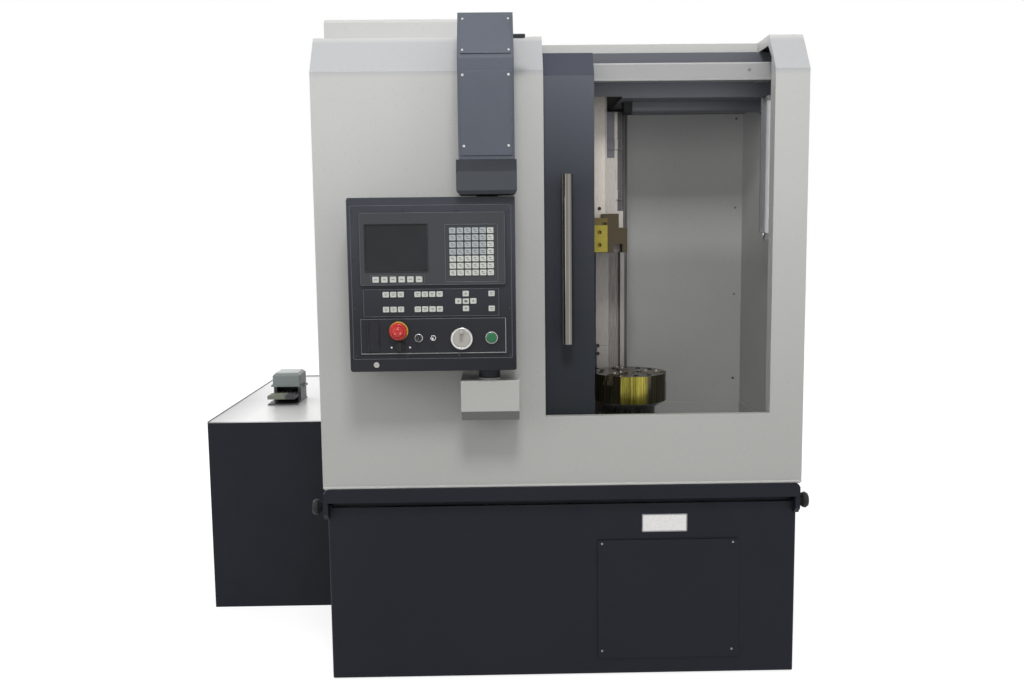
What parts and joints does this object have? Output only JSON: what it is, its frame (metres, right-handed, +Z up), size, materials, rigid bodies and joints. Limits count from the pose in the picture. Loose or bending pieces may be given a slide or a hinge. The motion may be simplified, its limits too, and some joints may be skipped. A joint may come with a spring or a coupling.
{
  "type": "vertical turning lathe",
  "caption": "Enclosed vertical turning lathe with sliding door, swinging control console, three-jaw chuck, vertical and cross slides, tool turret, side cabinet and foot switch.",
  "frame": {"origin": "middle of the whole footprint on the floor", "axes": "+Z up, -Y is the operator's side with the door, +X to the operator's right"},
  "size_m": [2.088, 2.047, 2.109],
  "materials": {
    "housing_paint": "light grey textured powder paint",
    "base_paint": "dark blue-grey paint",
    "door_paint": "mid grey paint",
    "arm_paint": "slate grey paint",
    "inner_sheet": "satin grey paint",
    "cast_paint": "grey machine enamel on casting",
    "ground_steel": "ground steel with a film of oil",
    "chromed": "polished chrome",
    "pane": "laminated safety glass",
    "lamp_glass": "frosted glass tube",
    "panel_plastic": "dark membrane panel",
    "unit_plastic": "grey moulded bezel",
    "key_plastic": "light grey keys",
    "red_plastic": "red moulded plastic",
    "green_plastic": "green moulded plastic",
    "black_plastic": "black moulded plastic",
    "pedal_paint": "olive paint",
    "motor_black": "black paint",
    "rubber_black": "black rubber",
    "lid_paint": "pale grey smooth paint",
    "switch_paint": "grey-green hammered paint",
    "oiled_steel": "ground steel under a film of yellow oil",
    "control_glass": "dark display glass"
  },
  "bodies": {
    "machine": {"base_frame": "base_paint", "levelling_feet": "rubber_black", "bed_casting": "cast_paint", "drip_tray": "base_paint", "lifting_bollards": "motor_black", "access_cover": "base_paint", "front_frame": "housing_paint", "left_panel": "housing_paint", "right_panel": "housing_paint", "rear_panel": "housing_paint", "roof_panel": "housing_paint", "roof_hood": "housing_paint", "door_rail": "housing_paint", "chamber_liner": "inner_sheet", "ceiling_panel": "inner_sheet", "chip_pan": "inner_sheet", "lamp_tube": "lamp_glass", "lamp_holders": "black_plastic", "column": "cast_paint", "z_rails": "ground_steel", "rail_stops": "ground_steel", "z_motor": "motor_black", "headstock": "cast_paint", "side_cabinet": "base_paint", "cabinet_lid": "lid_paint", "drain_duct": "base_paint", "foot_switch_body": "switch_paint", "arm_duct": "arm_paint", "arm_covers": "arm_paint", "arm_head": "arm_paint", "lower_bracket": "housing_paint"},
    "door": {"door_panel": "door_paint", "door_glass": "pane", "door_handle": "chromed"},
    "console": {"console_box": "panel_plastic", "console_plates": "panel_plastic", "control_unit": "unit_plastic", "control_screen": "control_glass", "console_keys": "key_plastic"},
    "estop": {"estop_button": "red_plastic"},
    "start": {"start_button": "green_plastic"},
    "pulse_wheel": {"handwheel": "ground_steel"},
    "key": {"key_switch": "ground_steel"},
    "selector": {"selector_knob": "black_plastic"},
    "toggle": {"toggle_lever": "chromed"},
    "lock": {"cam_lock": "ground_steel"},
    "port_flap": {"port_cover": "unit_plastic"},
    "chuck": {"chuck_body": "ground_steel"},
    "jaw_1": {"chuck_jaw_1": "ground_steel"},
    "jaw_2": {"chuck_jaw_2": "ground_steel"},
    "jaw_3": {"chuck_jaw_3": "ground_steel"},
    "vertical_slide": {"z_saddle": "cast_paint", "z_carriages": "ground_steel", "x_motor": "motor_black"},
    "vertical_screw": {"z_screw": "ground_steel"},
    "cross_screw": {"x_screw": "ground_steel"},
    "cross_slide": {"x_slide": "cast_paint"},
    "tool_turret": {"turret": "oiled_steel"},
    "pedal": {"foot_pedal": "pedal_paint"}
  },
  "joints": [
    {"name": "door_slide", "type": "slide", "parent": "machine", "child": "door", "axis": [1, 0, 0], "range_m": [0, 0.54]},
    {"name": "console_swing", "type": "hinge", "parent": "machine", "child": "console", "pos_m": [0.031, -0.9115, 1.274], "axis": [0, 0, 1], "range_deg": [0, 90]},
    {"name": "estop_press", "type": "slide", "parent": "console", "child": "estop", "axis": [0, 1, 0], "range_m": [0, 0.004]},
    {"name": "start_press", "type": "slide", "parent": "console", "child": "start", "axis": [0, 1, 0], "range_m": [0, 0.004], "stiffness_N_per_m": 400, "springref_m": -0.003},
    {"name": "pulse_wheel_turn", "type": "hinge", "parent": "console", "child": "pulse_wheel", "pos_m": [-0.0475, -0.9895, 1.119], "axis": [0, 1, 0], "continuous": true},
    {"name": "key_turn", "type": "hinge", "parent": "console", "child": "key", "pos_m": [-0.172, -0.9895, 1.1215], "axis": [0, 1, 0], "range_deg": [0, 90]},
    {"name": "selector_turn", "type": "hinge", "parent": "console", "child": "selector", "pos_m": [-0.225, -0.9895, 1.098], "axis": [0, 1, 0], "range_deg": [-45, 45]},
    {"name": "toggle_flip", "type": "hinge", "parent": "console", "child": "toggle", "pos_m": [-0.13, -0.9875, 1.121], "axis": [1, 0, 0], "range_deg": [-12, 12]},
    {"name": "lock_turn", "type": "hinge", "parent": "console", "child": "lock", "pos_m": [-0.2954, -0.9855, 1.044], "axis": [0, 1, 0], "range_deg": [0, 90]},
    {"name": "port_flap_open", "type": "hinge", "parent": "console", "child": "port_flap", "pos_m": [-0.317, -0.993, 1.126], "axis": [0, 0, -1], "range_deg": [0, 110]},
    {"name": "chuck_spin", "type": "hinge", "parent": "machine", "child": "chuck", "pos_m": [0.503, -0.5095, 0.8], "axis": [0, 0, 1], "continuous": true},
    {"name": "jaw_1_travel", "type": "slide", "parent": "chuck", "child": "jaw_1", "axis": [0.9848, -0.1736, 0], "range_m": [0, 0.0044]},
    {"name": "jaw_2_travel", "type": "slide", "parent": "chuck", "child": "jaw_2", "axis": [-0.342, 0.9397, 0], "range_m": [0, 0.0044]},
    {"name": "jaw_3_travel", "type": "slide", "parent": "chuck", "child": "jaw_3", "axis": [-0.6428, -0.766, 0], "range_m": [0, 0.0044]},
    {"name": "z_travel", "type": "slide", "parent": "machine", "child": "vertical_slide", "axis": [0, 0, 1], "range_m": [-0.33, 0]},
    {"name": "z_screw_turn", "type": "hinge", "parent": "machine", "child": "vertical_screw", "pos_m": [0.296, -0.3565, 1.4], "axis": [0, 0, 1], "continuous": true},
    {"name": "x_travel", "type": "slide", "parent": "vertical_slide", "child": "cross_slide", "axis": [1, 0, 0], "range_m": [-0.15, 0.015]},
    {"name": "x_screw_turn", "type": "hinge", "parent": "vertical_slide", "child": "cross_screw", "pos_m": [0.295, -0.4165, 1.61], "axis": [1, 0, 0], "continuous": true},
    {"name": "turret_index", "type": "hinge", "parent": "cross_slide", "child": "tool_turret", "pos_m": [0.426, -0.4855, 1.416], "axis": [0, 1, 0], "continuous": true},
    {"name": "pedal_press", "type": "hinge", "parent": "machine", "child": "pedal", "pos_m": [-0.8325, 0.3535, 0.756], "axis": [1, 0, 0], "range_deg": [0, 7], "stiffness_Nm_per_rad": 20, "springref_deg": -5.73}
  ],
  "couplings": [
    {"joint": "jaw_2_travel", "follows": "jaw_1_travel", "ratio": 1},
    {"joint": "jaw_3_travel", "follows": "jaw_1_travel", "ratio": 1},
    {"joint": "z_screw_turn", "follows": "z_travel", "rad_per_m": 628.32},
    {"joint": "x_screw_turn", "follows": "x_travel", "rad_per_m": 628.32}
  ]
}
